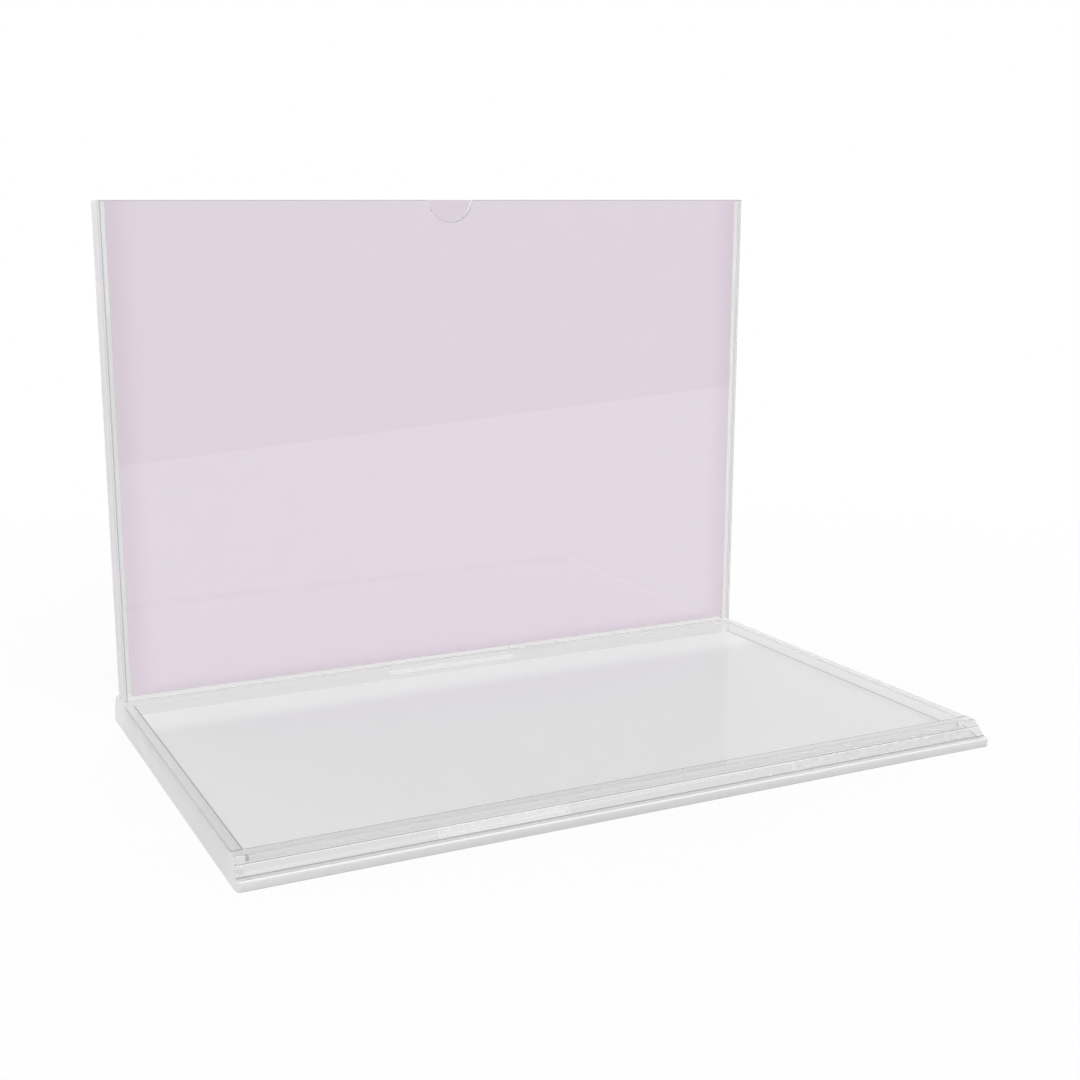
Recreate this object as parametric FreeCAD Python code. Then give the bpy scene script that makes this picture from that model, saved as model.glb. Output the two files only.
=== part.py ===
import FreeCAD, Part
import os

# Clear acrylic counter display stand: an upright card pocket standing at the back of a shallow tray.
# Millimetres. X runs across, Y from front to back, Z up.
# The origin is the middle of the footprint, on the surface that the stand rests on.

# Card in the pocket: a sheet as wide as A4 on its side
card_width = 297.0
card_height = 204.4
card_thickness = 0.4

# Upright pocket: a thin sheet in front of a thick one, held apart by three strips
front_sheet_thickness = 3.0
back_sheet_thickness = 12.0
pocket_gap = 1.0
side_spacer_width = 2.3
bottom_spacer_height = 1.9
thumb_notch_radius = 10.4
thumb_notch_rise = 1.0

# Tab under the middle of the back sheet, which drops into the slot of the back rim
tab_width = 63.0
tab_thickness = 6.0
tab_drop = 5.0

# Tray: a plate with four rims bonded on it and a panel lying between them
plate_thickness = 3.7
plate_front_lip = 2.9
rim_height = 5.7
rim_width = 4.5
rim_beyond_sign = 1.9
sign_to_front_edge = 168.9
front_slope_run = 4.7
side_slope_run = 1.6
floor_panel_thickness = 1.5

# Clearances
card_side_clearance = 0.4
tab_clearance = 0.2
panel_clearance = 0.3
seat_gap = 0.1

# Rounding of the polished edges and of the tray's upright corners
edge_round = 0.5
front_corner_round = 2.0
back_corner_round = 8.0

# Sizes that follow from the ones above
sign_width = card_width + 2 * (card_side_clearance + side_spacer_width)
sign_depth = front_sheet_thickness + pocket_gap + back_sheet_thickness
sheet_height = bottom_spacer_height + seat_gap + card_height
tray_width = sign_width + 2 * rim_beyond_sign
plate_width = tray_width + 2 * side_slope_run
plate_depth = plate_front_lip + front_slope_run + sign_to_front_edge + sign_depth

# Levels
rim_top = plate_thickness + rim_height
sign_foot = rim_top + seat_gap
sign_top = sign_foot + sheet_height
card_foot = sign_foot + bottom_spacer_height + seat_gap

# Places along Y
plate_front = -plate_depth / 2
sign_back = plate_depth / 2
sign_front = sign_back - sign_depth
back_rim_front = sign_front - rim_width
slope_foot = plate_front + plate_front_lip
slope_top = slope_foot + front_slope_run
front_rim_back = slope_top + rim_width
pocket_front = sign_front + front_sheet_thickness
pocket_back = pocket_front + pocket_gap
tab_front = (pocket_back + sign_back - tab_thickness) / 2
tab_back = tab_front + tab_thickness


def block(x_low, x_high, y_low, y_high, z_low, z_high):
    corner = FreeCAD.Vector(x_low, y_low, z_low)
    return Part.makeBox(x_high - x_low, y_high - y_low, z_high - z_low, corner)


def along(edge, axis):
    # True for a straight edge that runs along the axis named x, y or z
    if not isinstance(edge.Curve, (Part.Line, Part.LineSegment)):
        return False
    return abs(abs(getattr(edge.tangentAt(edge.FirstParameter), axis)) - 1) < 1e-6


def rounded(shape, radius, chosen):
    # Rounds the edges that chosen picks, no further than a fillet can go on this wall
    thinnest = min(shape.BoundBox.XLength, shape.BoundBox.YLength, shape.BoundBox.ZLength)
    edges = [edge for edge in shape.Edges if chosen(edge)]
    return shape.makeFillet(min(radius, 0.3 * thinnest), edges)


def prism(points, push):
    # Solid with a flat section, pushed along one direction
    corners = [FreeCAD.Vector(*point) for point in points]
    return Part.Face(Part.makePolygon(corners + corners[:1])).extrude(FreeCAD.Vector(*push))


def tray_outline():
    # What the whole tray is cut from: sides that slope in towards the top, and rounded upright corners
    plan = block(-plate_width / 2, plate_width / 2, plate_front, sign_back, 0, rim_top)

    def back_corner(edge):
        return along(edge, "z") and edge.CenterOfMass.y > 0

    def front_corner(edge):
        return along(edge, "z") and edge.CenterOfMass.y < 0

    plan = plan.makeFillet(back_corner_round, [edge for edge in plan.Edges if back_corner(edge)])
    plan = plan.makeFillet(front_corner_round, [edge for edge in plan.Edges if front_corner(edge)])
    section = [
        (-plate_width / 2, plate_front, 0),
        (plate_width / 2, plate_front, 0),
        (tray_width / 2, plate_front, rim_top),
        (-tray_width / 2, plate_front, rim_top),
    ]
    return plan.common(prism(section, (0, plate_depth, 0)))


outline = tray_outline()
beyond = plate_width


def at_top(edge, level):
    return edge.BoundBox.ZMin > level - 1e-6


def base_plate():
    plate = outline.common(block(-beyond, beyond, -beyond, beyond, 0, plate_thickness))
    lip = [edge for edge in plate.Edges if along(edge, "x") and edge.CenterOfMass.y < plate_front + 1e-6]
    return plate.makeFillet(edge_round, lip)


def front_rim():
    # The section is drawn beyond the left end and pushed across the tray
    section = [
        (-beyond, front_rim_back, plate_thickness),
        (-beyond, slope_foot, plate_thickness),
        (-beyond, slope_top, rim_top),
        (-beyond, front_rim_back, rim_top),
    ]
    rim = outline.common(prism(section, (2 * beyond, 0, 0)))
    return rounded(rim, edge_round, lambda edge: along(edge, "x") and at_top(edge, rim_top))


def side_rim(side):
    # side is -1 for the left rim and 1 for the right one
    inner = side * (tray_width / 2 - rim_width)
    outer = side * beyond
    rim = block(min(outer, inner), max(outer, inner), front_rim_back, back_rim_front, plate_thickness, rim_top)
    rim = outline.common(rim)
    return rounded(rim, edge_round, lambda edge: along(edge, "y") and at_top(edge, rim_top))


def back_rim():
    rim = outline.common(block(-beyond, beyond, back_rim_front, sign_back, plate_thickness, rim_top))
    rim = rounded(rim, edge_round, lambda edge: along(edge, "x") and at_top(edge, rim_top))
    slot = block(
        -tab_width / 2 - tab_clearance,
        tab_width / 2 + tab_clearance,
        tab_front - tab_clearance,
        tab_back + tab_clearance,
        plate_thickness,
        rim_top,
    )
    return rim.cut(slot)


def floor_panel():
    reach = tray_width / 2 - rim_width - panel_clearance
    foot = plate_thickness + seat_gap
    panel = block(
        -reach,
        reach,
        front_rim_back + panel_clearance,
        back_rim_front - panel_clearance,
        foot,
        foot + floor_panel_thickness,
    )
    return rounded(panel, edge_round, lambda edge: edge.CenterOfMass.z > foot + floor_panel_thickness - 1e-6)


def face_outline(edge):
    # Edges that bound the broad faces of an upright sheet
    return not along(edge, "y")


def sign_front_sheet():
    sheet = block(-sign_width / 2, sign_width / 2, sign_front, pocket_front, sign_foot, sign_top)
    notch = Part.makeCylinder(
        thumb_notch_radius,
        front_sheet_thickness,
        FreeCAD.Vector(0, sign_front, sign_top + thumb_notch_rise),
        FreeCAD.Vector(0, 1, 0),
    )
    return rounded(sheet.cut(notch), edge_round, face_outline)


def sign_back_sheet():
    sheet = block(-sign_width / 2, sign_width / 2, pocket_back, sign_back, sign_foot, sign_top)
    sheet = rounded(sheet, edge_round, face_outline)
    tab = block(-tab_width / 2, tab_width / 2, tab_front, tab_back, sign_foot - tab_drop, sign_foot)
    return sheet.fuse(tab).removeSplitter()


def sign_side_spacer(side):
    outer = side * sign_width / 2
    inner = outer - side * side_spacer_width
    foot = sign_foot + bottom_spacer_height
    return block(min(outer, inner), max(outer, inner), pocket_front, pocket_back, foot, sign_top)


def sign_bottom_spacer():
    top = sign_foot + bottom_spacer_height
    return block(-sign_width / 2, sign_width / 2, pocket_front, pocket_back, sign_foot, top)


def sign_card():
    front = (pocket_front + pocket_back - card_thickness) / 2
    return block(-card_width / 2, card_width / 2, front, front + card_thickness, card_foot, sign_top)


nodes = {
    "base_plate": base_plate(),
    "front_rim": front_rim(),
    "left_rim": side_rim(-1),
    "right_rim": side_rim(1),
    "back_rim": back_rim(),
    "floor_panel": floor_panel(),
    "sign_front_sheet": sign_front_sheet(),
    "sign_back_sheet": sign_back_sheet(),
    "sign_left_spacer": sign_side_spacer(-1),
    "sign_right_spacer": sign_side_spacer(1),
    "sign_bottom_spacer": sign_bottom_spacer(),
    "sign_card": sign_card(),
}

os.makedirs("parts", exist_ok=True)
for name, shape in nodes.items():
    shape.exportStep(f"parts/{name}.step")
    print(f"{name}: {len(shape.Solids)} solid, {shape.Volume / 1000:.2f} cm3, valid {shape.isValid()}")
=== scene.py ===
import bpy
import math
from mathutils import Euler, Matrix, Vector


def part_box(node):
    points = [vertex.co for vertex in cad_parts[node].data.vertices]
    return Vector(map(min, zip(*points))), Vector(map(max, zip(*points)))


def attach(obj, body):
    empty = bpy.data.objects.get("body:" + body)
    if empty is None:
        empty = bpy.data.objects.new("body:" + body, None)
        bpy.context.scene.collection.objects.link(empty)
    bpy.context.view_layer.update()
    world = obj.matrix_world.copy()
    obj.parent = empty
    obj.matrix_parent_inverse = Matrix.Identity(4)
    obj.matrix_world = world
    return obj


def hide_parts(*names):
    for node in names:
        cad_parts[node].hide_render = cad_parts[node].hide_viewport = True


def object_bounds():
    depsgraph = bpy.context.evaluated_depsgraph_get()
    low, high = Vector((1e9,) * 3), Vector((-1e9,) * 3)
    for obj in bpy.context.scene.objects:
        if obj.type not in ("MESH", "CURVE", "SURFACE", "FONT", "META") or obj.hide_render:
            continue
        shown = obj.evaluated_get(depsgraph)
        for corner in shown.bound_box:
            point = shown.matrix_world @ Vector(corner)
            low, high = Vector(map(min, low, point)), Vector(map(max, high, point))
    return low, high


# Clear acrylic counter display stand, dressed around the CAD solids. Metres, Z up, front towards -Y.

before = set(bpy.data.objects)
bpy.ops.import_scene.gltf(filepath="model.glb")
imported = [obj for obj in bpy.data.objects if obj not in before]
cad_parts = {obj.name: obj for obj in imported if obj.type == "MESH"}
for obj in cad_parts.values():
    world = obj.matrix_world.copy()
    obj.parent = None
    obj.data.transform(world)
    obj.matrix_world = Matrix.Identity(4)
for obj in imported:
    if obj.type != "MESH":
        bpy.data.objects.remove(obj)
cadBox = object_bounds()
print("frame loaded:", len(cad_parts), "nodes")


def linear(hexCode):
    # sRGB hex value to linear RGBA
    parts = [int(hexCode[i:i + 2], 16) / 255 for i in (1, 3, 5)]
    return [p / 12.92 if p <= 0.04045 else ((p + 0.055) / 1.055) ** 2.4 for p in parts] + [1.0]


def addNode(tree, kind, inputs=None, **settings):
    # inputs maps a socket's name or number to a plain value or to the socket that feeds it
    node = tree.nodes.new(kind)
    for key, value in settings.items():
        setattr(node, key, value)
    for key, value in (inputs or {}).items():
        if isinstance(value, bpy.types.NodeSocket):
            tree.links.new(value, node.inputs[key])
        else:
            node.inputs[key].default_value = value
    return node


def reckon(tree, operation, *values):
    return addNode(tree, "ShaderNodeMath", dict(enumerate(values)), operation=operation).outputs[0]


def ramp(tree, value, start, end, low=0.0, high=1.0, interpolation="LINEAR"):
    return addNode(tree, "ShaderNodeMapRange", {
        "Value": value, "From Min": start, "From Max": end, "To Min": low, "To Max": high,
    }, interpolation_type=interpolation).outputs[0]


def blend(tree, share, first, second, kind="MIX"):
    return addNode(tree, "ShaderNodeMix", {
        "Factor": share, "A": first, "B": second,
    }, data_type="RGBA", blend_type=kind).outputs["Result"]


def layered(tree, share, first, second):
    return addNode(tree, "ShaderNodeMixShader", {0: share, 1: first, 2: second}).outputs[0]


def objectPlace(tree):
    return addNode(tree, "ShaderNodeTexCoord").outputs["Object"]


def axesOf(tree, place):
    return addNode(tree, "ShaderNodeSeparateXYZ", {0: place}).outputs


def newMaterial(name):
    material = bpy.data.materials.new(name)
    material.use_nodes = True
    material.node_tree.nodes.clear()
    return material, material.node_tree


def dress(node, material):
    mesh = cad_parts[node].data
    mesh.materials.clear()
    mesh.materials.append(material)


def activate(piece):
    bpy.ops.object.select_all(action="DESELECT")
    piece.select_set(True)
    bpy.context.view_layer.objects.active = piece


def pick(piece, kind, chosen):
    # Leaves the piece in edit mode, with the edges or faces selected that chosen picks
    activate(piece)
    bpy.ops.object.mode_set(mode="EDIT")
    bpy.ops.mesh.select_mode(type=kind)
    bpy.ops.mesh.select_all(action="DESELECT")
    bpy.ops.object.mode_set(mode="OBJECT")
    elements = piece.data.edges if kind == "EDGE" else piece.data.polygons
    for element in elements:
        element.select = chosen(element)
    bpy.ops.object.mode_set(mode="EDIT")


# Bonded acrylic: the sheets of one body become one clear solid, so that light meets no wall inside a joint

bonded = {
    "clearTray": ("tray", ["base_plate", "front_rim", "left_rim", "right_rim", "back_rim"]),
    "clearSign": ("sign", ["sign_front_sheet", "sign_back_sheet", "sign_left_spacer", "sign_right_spacer",
                           "sign_bottom_spacer"]),
}
joining = {
    "weld": 1e-6,
    "flatAngle": 0.1,  # degrees; faces that lie this close to one plane become one
    "smoothAngle": 25,
    "flatWeight": 100,  # broad faces stay optically flat
}


def mergedCopy(node):
    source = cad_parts[node]
    piece = bpy.data.objects.new(node + "Copy", source.data.copy())
    bpy.context.scene.collection.objects.link(piece)
    activate(piece)
    bpy.ops.mesh.customdata_custom_splitnormals_clear()
    bpy.ops.object.mode_set(mode="EDIT")
    bpy.ops.mesh.select_all(action="SELECT")
    bpy.ops.mesh.remove_doubles(threshold=joining["weld"])
    bpy.ops.object.mode_set(mode="OBJECT")
    return piece


def bondedPiece(name, body, nodes):
    piece = mergedCopy(nodes[0])
    piece.name = name
    for node in nodes[1:]:
        other = mergedCopy(node)
        activate(piece)
        union = piece.modifiers.new("bond", "BOOLEAN")
        union.operation = "UNION"
        union.solver = "EXACT"
        union.object = other
        bpy.ops.object.modifier_apply(modifier="bond")
        bpy.data.objects.remove(other)
    activate(piece)
    bpy.ops.object.mode_set(mode="EDIT")
    bpy.ops.mesh.select_all(action="SELECT")
    bpy.ops.mesh.remove_doubles(threshold=joining["weld"])
    bpy.ops.mesh.dissolve_limited(angle_limit=math.radians(joining["flatAngle"]))
    bpy.ops.object.mode_set(mode="OBJECT")
    bpy.ops.object.shade_smooth_by_angle(angle=math.radians(joining["smoothAngle"]))
    even = piece.modifiers.new("even", "WEIGHTED_NORMAL")
    even.weight = joining["flatWeight"]
    even.keep_sharp = True
    bpy.ops.object.modifier_apply(modifier="even")
    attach(piece, body)
    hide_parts(*nodes)
    return piece


bond = {
    "width": 0.0003,
    "near": 1e-4,  # edges this close to the rim's foot take the glue
}


def glueLine(piece):
    # A little glue stands in the angle between the front rim and the plate
    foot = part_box("front_rim")[0]

    def isFoot(edge):
        ends = [piece.data.vertices[i].co for i in edge.vertices]
        return all(max(abs(end.y - foot[1]), abs(end.z - foot[2])) < bond["near"] for end in ends)

    pick(piece, "EDGE", isFoot)
    bpy.ops.mesh.bevel(offset=bond["width"], segments=1)
    bpy.ops.object.mode_set(mode="OBJECT")


slope = {
    "forward": -0.7,  # the slope's normal points at least this far to the front
    "upward": 0.6,  # and this far up
    "leastArea": 5e-5,  # smaller faces that lean alike belong to the roundings
}
# Strips that take painted dark reflection lines, in place of the inner walls' reflections
paintedLines = {
    "margin": 0.0008,  # along the inner edges of the left and the front rim
    "level": 0.999,  # a face whose normal points this far up is level
    "nearTop": 1e-4,
    "slopeAbove": 0.00055,  # the line on the slope lies this far above its middle
    "slopeLine": 0.0003,
    "near": 0.1,  # share of a strip's width within which its middle is found again
}


def cutFaces(piece, chosen, point, normal):
    # Splits the flat faces that chosen picks along a plane
    pick(piece, "FACE", chosen)
    bpy.ops.mesh.bisect(plane_co=point, plane_no=normal)
    bpy.ops.object.mode_set(mode="OBJECT")


def isSlope(face):
    low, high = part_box("front_rim")
    leans = face.normal.y < slope["forward"] and face.normal.z > slope["upward"]
    return leans and low[2] < face.center.z < high[2] and face.area > slope["leastArea"]


def paintedLineStrips(piece):
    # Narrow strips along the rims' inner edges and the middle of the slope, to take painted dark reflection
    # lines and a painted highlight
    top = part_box("front_rim")[1]
    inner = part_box("left_rim")[1][0]

    def isRimTop(face):
        return face.normal.z > paintedLines["level"] and face.center.z > top[2] - paintedLines["nearTop"]

    cutFaces(piece, lambda face: isRimTop(face) and face.center.x < inner,
             (inner - paintedLines["margin"], 0, 0), (1, 0, 0))
    cutFaces(piece, lambda face: isRimTop(face) and face.center.y < top[1],
             (0, top[1] - paintedLines["margin"], 0), (0, 1, 0))
    whole = next(face for face in piece.data.polygons if isSlope(face))
    up = Vector((0, whole.normal.z, -whole.normal.y))
    middle = whole.center + up * paintedLines["slopeAbove"]
    for step in (0.5, -0.5, -1.5):  # the painted dark line's two edges, and the foot of the painted highlight below it
        cutFaces(piece, isSlope, middle + up * step * paintedLines["slopeLine"], up)
    return middle, up


pieces = {name: bondedPiece(name, body, nodes) for name, (body, nodes) in bonded.items()}
glueLine(pieces["clearTray"])
slopeMiddle, slopeUp = paintedLineStrips(pieces["clearTray"])
print("bonded pieces:", {name: len(piece.data.polygons) for name, piece in pieces.items()})

# Materials

acrylic = {
    "tint": "#FDFDFD",  # cast sheet is water-clear
    "ior": 1.49,
    "roughness": 0.0,
}


def acrylicShader(tree, colour, roughness, clear=1.0):
    return addNode(tree, "ShaderNodeBsdfPrincipled", {
        "Base Color": colour,
        "Roughness": roughness,
        "IOR": acrylic["ior"],
        "Transmission Weight": clear,
    }).outputs[0]


def translucent(tree, colour):
    return addNode(tree, "ShaderNodeBsdfTranslucent", {"Color": colour}).outputs[0]


def lampsThrough(tree, shader):
    # Lamp light and light from pale surfaces goes straight through the clear acrylic
    path = addNode(tree, "ShaderNodeLightPath")
    clear = addNode(tree, "ShaderNodeBsdfTransparent", {"Color": linear(acrylic["tint"])}).outputs[0]
    for ray in ("Is Diffuse Ray", "Is Shadow Ray"):
        shader = layered(tree, path.outputs[ray], shader, clear)
    addNode(tree, "ShaderNodeOutputMaterial", {"Surface": shader})


def castAcrylic():
    # Clear cast acrylic, cut and polished: bright and dark lines along its edges
    material, tree = newMaterial("castAcrylic")
    lampsThrough(tree, acrylicShader(tree, linear(acrylic["tint"]), acrylic["roughness"]))
    return material


satin = {
    "grain": 0.02,
    "roughLeast": 0.28,
    "roughMost": 0.33,
    "throughColour": "#FFFFFF",
    "through": 0.6,  # share of the light that the cut face scatters every way
}


def satinAcrylic():
    # Saw-cut ends, smoothed but not polished: pale and even where light leaves them
    material, tree = newMaterial("satinAcrylic")
    grain = addNode(tree, "ShaderNodeTexNoise", {
        "Vector": objectPlace(tree), "Scale": 1 / satin["grain"], "Detail": 0.0,
    })
    rough = ramp(tree, grain.outputs[0], 0, 1, satin["roughLeast"], satin["roughMost"])
    body = acrylicShader(tree, linear(acrylic["tint"]), rough)
    scattered = translucent(tree, linear(satin["throughColour"]))
    lampsThrough(tree, layered(tree, satin["through"], body, scattered))
    return material


lip = {
    "topColour": "#FFFFFF",
    # painted shade towards the table
    "footShadeColour": "#ECEDEC",
    "roughness": 0.3,
    "through": 0.7,  # share of the light that the edge scatters every way
}


def smoothedAcrylic():
    # Front edge of the plate, cut and smoothed: evenly lit from inside, with painted shade greyer towards the
    # table
    material, tree = newMaterial("smoothedAcrylic")
    low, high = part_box("base_plate")
    axes = axesOf(tree, objectPlace(tree))
    rise = ramp(tree, axes["Z"], low[2], high[2], interpolation="SMOOTHSTEP")
    colour = blend(tree, rise, linear(lip["footShadeColour"]), linear(lip["topColour"]))
    body = acrylicShader(tree, colour, lip["roughness"])
    lampsThrough(tree, layered(tree, lip["through"], body, translucent(tree, colour)))
    return material


arris = {
    "width": 0.00035,  # strips narrower than this are the roundings along the edges
    "corner": 0.02,  # upright strips shorter than this belong to the rounded corners
    "steep": 0.8,
    "facingUp": 0.3,
    # Line colours: painted reflections on the roundings over their own faint scatter, the glue line with
    # painted dark lines, and a painted highlight
    "trayColour": "#BCBEBD",
    "glueAndReflectionColour": "#9A9C9B",
    "highlightColour": "#ECEDEC",
    "signColour": "#BABCBB",
    "roughness": 0.3,
    "clear": 0.4,
}


def paintedLineAcrylic(name, colour):
    # Roundings, the glue line and narrow strips read as fine pale or grey lines: the glue line in its own
    # grey, the rest painted reflections and highlights over the roundings' own faint scatter; light inside
    # glides past them
    material, tree = newMaterial(name)
    outside = acrylicShader(tree, linear(colour), arris["roughness"], arris["clear"])
    inside = acrylicShader(tree, linear(acrylic["tint"]), acrylic["roughness"])
    side = addNode(tree, "ShaderNodeNewGeometry")
    lampsThrough(tree, layered(tree, side.outputs["Backfacing"], outside, inside))
    return material


floorPanel = {
    "colour": "#ECEDEC",
    "backLightColour": "#FDFFFD",
    "backLightBand": 0.015,  # painted light, full along the back edge, then fading
    "backLightReach": 0.030,
    # Painted shade along the panel's front and sides, where it meets the rims
    "sideShadeColour": "#8A8B8A",
    "frontShadeColour": "#D2D3D2",
    "edgeShadeBand": 0.001,
    "roughness": 0.004,
    "gloss": 0.6,
    "throughColour": "#FBFBFB",
    "through": 0.5,  # share of the light that goes through the sheet
}


def opalAcrylic():
    # White opal acrylic sheet: even milky body under a clear gloss, with a painted band of light along the
    # back and painted shade along its front and sides
    material, tree = newMaterial("opalAcrylic")
    low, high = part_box("floor_panel")
    axes = axesOf(tree, objectPlace(tree))
    inBackLight = ramp(tree, axes["Y"], high[1] - floorPanel["backLightReach"], high[1] - floorPanel["backLightBand"],
                  interpolation="SMOOTHSTEP")
    inFrontShade = reckon(tree, "LESS_THAN", axes["Y"], low[1] + floorPanel["edgeShadeBand"])
    aside = reckon(tree, "ABSOLUTE", axes["X"])
    inSideShade = reckon(tree, "GREATER_THAN", aside, high[0] - floorPanel["edgeShadeBand"])
    colour = blend(tree, inBackLight, linear(floorPanel["colour"]), linear(floorPanel["backLightColour"]))
    faced = blend(tree, inFrontShade, colour, linear(floorPanel["frontShadeColour"]))
    body = addNode(tree, "ShaderNodeBsdfPrincipled", {
        "Base Color": blend(tree, inSideShade, faced, linear(floorPanel["sideShadeColour"])),
        "Roughness": floorPanel["roughness"],
        "Specular IOR Level": floorPanel["gloss"],
    })
    passed = translucent(tree, linear(floorPanel["throughColour"]))
    addNode(tree, "ShaderNodeOutputMaterial", {
        "Surface": layered(tree, floorPanel["through"], body.outputs[0], passed),
    })
    return material


card = {
    "colour": "#DCD1DD",
    # painted shade along the card's sides and foot
    "edgeShadeColour": "#D3C7D2",
    "sideReach": 0.013,  # how far the painted shade along its sides and its foot runs in
    "footReach": 0.005,
    "notchShadeColour": "#D0C4CF",  # painted shade where the notch bares the card
    "notchShadeReach": 0.0104,
    "notchShadeFade": 0.0003,
    "thumbRise": 0.001,  # the notch's middle lies this far above the sheet
    "fibre": 0.0009,
    "fibreDetail": 3.0,
    "fibreDepth": 0.012,
    "roughness": 0.6,
}


def lilacCard():
    # Coated card, printed lilac all over: matt, faintly fibrous, with painted shade along its sides and foot
    # and where the notch bares it
    material, tree = newMaterial("lilacCard")
    low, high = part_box("sign_card")
    place = objectPlace(tree)
    axes = axesOf(tree, place)
    inSideShade = ramp(tree, reckon(tree, "ABSOLUTE", axes["X"]), high[0] - card["sideReach"], high[0],
                  interpolation="SMOOTHSTEP")
    inFootShade = ramp(tree, axes["Z"], low[2] + card["footReach"], low[2], interpolation="SMOOTHSTEP")
    inEdgeShade = reckon(tree, "MAXIMUM", inSideShade, inFootShade)
    printAndEdgeShade = blend(tree, inEdgeShade, linear(card["colour"]), linear(card["edgeShadeColour"]))
    notchMiddle = (0, 0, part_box("sign_front_sheet")[1][2] + card["thumbRise"])
    flat = addNode(tree, "ShaderNodeVectorMath", {0: place, 1: (1, 0, 1)}, operation="MULTIPLY")
    off = addNode(tree, "ShaderNodeVectorMath", {0: flat.outputs[0], 1: notchMiddle}, operation="DISTANCE")
    inNotchShade = ramp(tree, off.outputs["Value"], card["notchShadeReach"] + card["notchShadeFade"],
                   card["notchShadeReach"] - card["notchShadeFade"])
    notchShaded = blend(tree, inNotchShade, printAndEdgeShade, linear(card["notchShadeColour"]))
    fibre = addNode(tree, "ShaderNodeTexNoise", {
        "Vector": place, "Scale": 1 / card["fibre"], "Detail": card["fibreDetail"],
    })
    shade = ramp(tree, fibre.outputs[0], 0, 1, 1 - card["fibreDepth"], 1 + card["fibreDepth"])
    shader = addNode(tree, "ShaderNodeBsdfPrincipled", {
        "Base Color": blend(tree, 1.0, notchShaded, shade, "MULTIPLY"),
        "Roughness": card["roughness"],
    })
    addNode(tree, "ShaderNodeOutputMaterial", {"Surface": shader.outputs[0]})
    return material


# Which face takes which finish

finish = {
    "beside": 0.001,  # faces this close to a plane or a level lie on it
    "lipMiddle": 0.002,  # the lip's upper rounding lies above this level
    "lipFacing": -0.99,
    "endFacing": 0.3,  # the rounded corners beside an end count as the end
    "endDepth": 0.003,
}


def isArris(mesh, face):
    # A strip's width is its area over its longest side
    corners = [mesh.vertices[i].co for i in face.vertices]
    sides = [b - a for a, b in zip(corners, corners[1:] + corners[:1])]
    longest = max(sides, key=lambda side: side.length)
    upright = abs(longest.z) > arris["steep"] * longest.length and abs(face.normal.z) < arris["facingUp"]
    narrow = face.area < arris["width"] * longest.length
    return narrow and not (upright and longest.length < arris["corner"])


def isBond(face):
    # The glue line along the foot of the front rim
    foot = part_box("front_rim")[0]
    return abs(face.center.y - foot[1]) < bond["width"] and abs(face.center.z - foot[2]) < bond["width"]


def isEnd(mesh, face):
    # The broad faces at the left and right ends of a piece, and the rounded corners beside them
    reach = max(vertex.co.x for vertex in mesh.vertices)
    return abs(face.normal.x) > finish["endFacing"] and abs(face.center.x) > reach - finish["endDepth"]


def trayFinish(mesh, face):
    # Number of the material that a face of the tray takes
    clear, cut, pale, glueAndReflectionLine, light, front = range(6)
    plate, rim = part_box("base_plate"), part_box("front_rim")
    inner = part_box("left_rim")[1][0]
    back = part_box("back_rim")[0][1]
    x, y, z = face.center
    atTop = z > rim[1][2] - paintedLines["margin"]
    leftMargin = inner - paintedLines["margin"] < x < inner and rim[1][1] < y < back
    frontMargin = rim[1][1] - paintedLines["margin"] < y < rim[1][1]
    # The glue line in its own grey, and painted dark reflection lines along the inner top edges of the left
    # and front rims
    if isBond(face) or atTop and (leftMargin or frontMargin):
        return glueAndReflectionLine
    # A painted dark reflection line along the slope, with a painted highlight below it
    if isSlope(face):
        down = (slopeMiddle - face.center).dot(slopeUp) / paintedLines["slopeLine"]
        return glueAndReflectionLine if abs(down) < paintedLines["near"] else light if abs(down - 1) < paintedLines["near"] else clear
    # Roundings carry painted reflection lines over their own faint scatter
    if isArris(mesh, face):
        onTable = z < finish["beside"] and y > plate[0][1] + finish["beside"]
        if onTable or y > back - finish["beside"]:
            return clear
        if atTop and x > -inner - paintedLines["margin"] and y > rim[1][1]:
            return cut
        # A painted highlight along the lip's upper rounding; the other roundings take the grey lines
        return light if y < rim[0][1] and z > finish["lipMiddle"] else pale
    if face.normal.y < finish["lipFacing"] and y < rim[0][1]:
        return front
    return cut if isEnd(mesh, face) else clear


def signFinish(mesh, face):
    # Number of the material that a face of the upright takes
    clear, cut, pale = range(3)
    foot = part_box("sign_front_sheet")[0][2]
    if isArris(mesh, face):
        # Roundings above the foot carry painted reflection lines
        return pale if face.center.z > foot + finish["beside"] else cut
    return cut if isEnd(mesh, face) or face.center.z < foot else clear


def dressPiece(mesh, materials, choose):
    mesh.materials.clear()
    for material in materials:
        mesh.materials.append(material)
    for face in mesh.polygons:
        face.material_index = choose(mesh, face)


clearSheet, cutSheet = castAcrylic(), satinAcrylic()
dressPiece(pieces["clearTray"].data, [
    clearSheet,
    cutSheet,
    paintedLineAcrylic("trayArris", arris["trayColour"]),
    paintedLineAcrylic("glueAndPaintedReflection", arris["glueAndReflectionColour"]),
    paintedLineAcrylic("paintedHighlight", arris["highlightColour"]),
    smoothedAcrylic(),
], trayFinish)
dressPiece(pieces["clearSign"].data, [
    clearSheet,
    cutSheet,
    paintedLineAcrylic("signArris", arris["signColour"]),
], signFinish)
dress("floor_panel", opalAcrylic())
dress("sign_card", lilacCard())
print("materials set")

# Stage: white table, pale room

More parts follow.
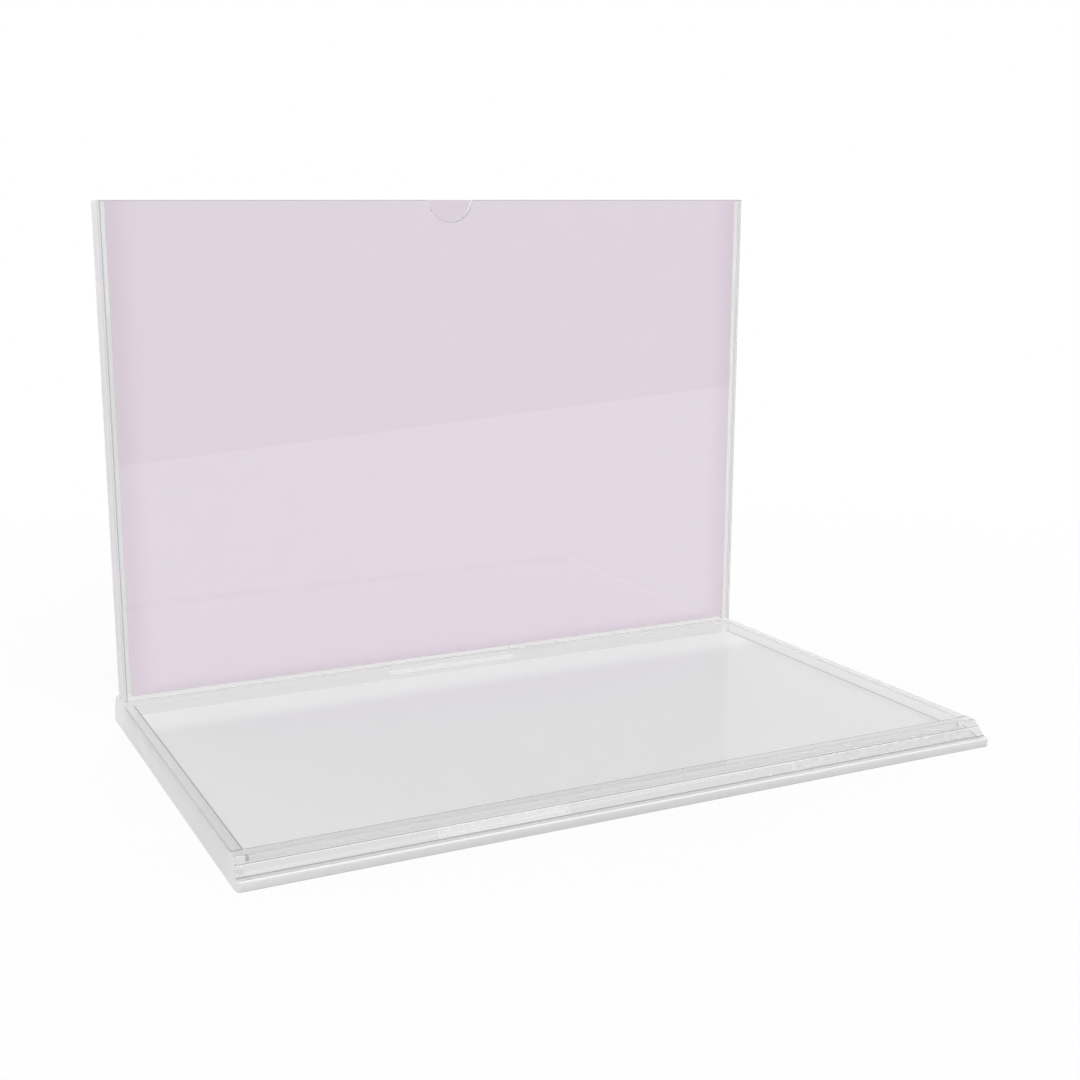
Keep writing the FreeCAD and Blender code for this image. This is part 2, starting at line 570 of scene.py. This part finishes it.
stage = {
    "tableLevel": -0.0004,  # the stand's underside stays clear of the table's face
    "tableReach": 3.0,  # how far the table runs to each side and behind
    "edgeLeft": (-0.0119, -0.6057),  # two points of the table's front edge
    "edgeRight": (0.8131, -0.8918),
    "tableColour": "#E6E6E6",
    "tableLight": 0.74,
    "underShade": 0.09,  # darker under the stand's front, fading to its back
    "shadeFull": -0.05,
    "shadeNone": 0.08,
    "shadowShare": 0.15,  # the shadow's share close to the stand, none further out
    "shadowNear": 0.2,
    "shadowFar": 0.6,
    "roomFront": 0.34,
    "roomSide": 0.74,
    "roomBack": 0.8,
    "roomMirror": 0.2,  # what is mirrored from behind is lighter than what is seen through the acrylic
    "frontSpan": (-0.8, -0.65),  # the front turns into the side between these parts of a direction along Y
    "heightSpan": (0.2, 0.35),  # and between these along Z, up or down
    "backSpan": (0.1, 0.5),  # the side turns into the back between these along Y
}


def tableTop():
    (xa, ya), (xb, yb) = stage["edgeLeft"], stage["edgeRight"]
    edgeTurn = (yb - ya) / (xb - xa)
    bpy.ops.object.select_all(action="DESELECT")
    bpy.ops.mesh.primitive_plane_add(size=2 * stage["tableReach"], location=(0, 0, stage["tableLevel"]))
    table = bpy.context.object
    table.name = "tableTop"
    for vertex in table.data.vertices:
        if vertex.co.y < 0:
            vertex.co.y = ya + edgeTurn * (vertex.co.x - xa)
    table.data.materials.append(whiteTable())


def whiteTable():
    # White to the camera but for the stand's soft shadow, and pale grey to what the acrylic shows
    material, tree = newMaterial("whiteTable")
    toCamera = addNode(tree, "ShaderNodeLightPath").outputs["Is Camera Ray"]
    place = objectPlace(tree)
    axes = axesOf(tree, place)
    distance = addNode(tree, "ShaderNodeVectorMath", {0: place}, operation="LENGTH").outputs["Value"]
    near = ramp(tree, distance, stage["shadowNear"], stage["shadowFar"], stage["shadowShare"], 0.0)
    inWidth = reckon(tree, "LESS_THAN", reckon(tree, "ABSOLUTE", axes["X"]), cadBox[1][0])
    inDepth = reckon(tree, "LESS_THAN", reckon(tree, "ABSOLUTE", axes["Y"]), cadBox[1][1])
    under = reckon(tree, "MULTIPLY", inWidth, inDepth)
    shade = ramp(tree, axes["Y"], stage["shadeFull"], stage["shadeNone"], stage["underShade"], 0.0)
    seen = reckon(tree, "SUBTRACT", stage["tableLight"], reckon(tree, "MULTIPLY", under, shade))
    lit = addNode(tree, "ShaderNodeBsdfDiffuse", {"Color": linear(stage["tableColour"])})
    glow = addNode(tree, "ShaderNodeEmission", {
        "Color": (1, 1, 1, 1), "Strength": ramp(tree, toCamera, 0, 1, seen, 1.0),
    })
    share = reckon(tree, "MULTIPLY", toCamera, near)
    addNode(tree, "ShaderNodeOutputMaterial", {
        "Surface": layered(tree, share, glow.outputs[0], lit.outputs[0]),
    })
    return material


def room():
    # Pale grey beside and behind the stand, darker low in front, and always white to the camera itself
    world = bpy.data.worlds.new("room")
    bpy.context.scene.world = world
    world.use_nodes = True
    tree = world.node_tree
    tree.nodes.clear()
    rays = addNode(tree, "ShaderNodeLightPath").outputs
    direction = addNode(tree, "ShaderNodeTexCoord").outputs["Generated"]
    axes = axesOf(tree, direction)
    aside = ramp(tree, axes["Y"], *stage["frontSpan"])
    above = ramp(tree, reckon(tree, "ABSOLUTE", axes["Z"]), *stage["heightSpan"])
    beside = ramp(tree, reckon(tree, "MAXIMUM", aside, above), 0, 1, stage["roomFront"], stage["roomSide"])
    behind = ramp(tree, axes["Y"], *stage["backSpan"], 0.0, stage["roomBack"] - stage["roomSide"])
    farther = ramp(tree, axes["Y"], *stage["backSpan"], 0.0, stage["roomMirror"])
    isMirrored = reckon(tree, "MULTIPLY", rays["Is Glossy Ray"], rays["Is Reflection Ray"])
    mirrored = reckon(tree, "MULTIPLY", farther, isMirrored)
    wall = reckon(tree, "ADD", reckon(tree, "ADD", beside, behind), mirrored)
    light = addNode(tree, "ShaderNodeBackground", {
        "Color": (1, 1, 1, 1), "Strength": reckon(tree, "MAXIMUM", wall, rays["Is Camera Ray"]),
    })
    addNode(tree, "ShaderNodeOutputWorld", {"Surface": light.outputs[0]})


softboxes = {
    "frontSoftbox": {"place": (0.2, -2.4, 1.1), "size": (2.4, 1.2), "watts": 41.0},
    "topSoftbox": {"place": (0.3, 0.0, 2.0), "size": (2.0, 1.6), "watts": 7.0},
    "backSoftbox": {"place": (0.1, 1.8, 1.5), "size": (2.4, 1.2), "watts": 12.0},
}
softboxAim = (0, 0.05, 0.08)


def softbox(name, place, size, watts):
    data = bpy.data.lights.new(name, "AREA")
    data.shape = "RECTANGLE"
    data.size, data.size_y = size
    data.energy = watts
    lamp = bpy.data.objects.new(name, data)
    bpy.context.scene.collection.objects.link(lamp)
    lamp.location = place
    lamp.visible_glossy = lamp.visible_transmission = False  # even light, with no lamp mirrored in the sheets
    lamp.rotation_euler = (Vector(softboxAim) - Vector(place)).to_track_quat("-Z", "Y").to_euler()


for name, box in softboxes.items():
    softbox(name, **box)
tableTop()
room()
print("stage set")

# Camera at the photograph's place

view = {
    "place": (-0.268297, -0.520432, 0.206436),
    "down": 11.771,
    "turn": 24.6,
    "roll": -0.392,
    "lens": 49.3987,
    "sensor": 36.0,
    "shift": (0.06723, -0.00849),
    "nearest": 0.01,
}
cameraData = bpy.data.cameras.new("camera")
cameraData.lens = view["lens"]
cameraData.sensor_width = view["sensor"]
cameraData.shift_x, cameraData.shift_y = view["shift"]
cameraData.clip_start = view["nearest"]
camera = bpy.data.objects.new("camera", cameraData)
bpy.context.scene.collection.objects.link(camera)
camera.location = view["place"]
aim = Euler((math.radians(90 - view["down"]), 0, math.radians(-view["turn"]))).to_matrix()
camera.rotation_euler = (aim @ Matrix.Rotation(math.radians(view["roll"]), 3, "Z")).to_euler()
bpy.context.scene.camera = camera
bpy.context.scene.view_settings.view_transform = "Standard"

# Light runs a long way inside the clear plate, from wall to wall, before it comes out at an edge
lightBounces = 256
cycles = bpy.context.scene.cycles
cycles.max_bounces = cycles.glossy_bounces = cycles.transmission_bounces = lightBounces
print("camera set")
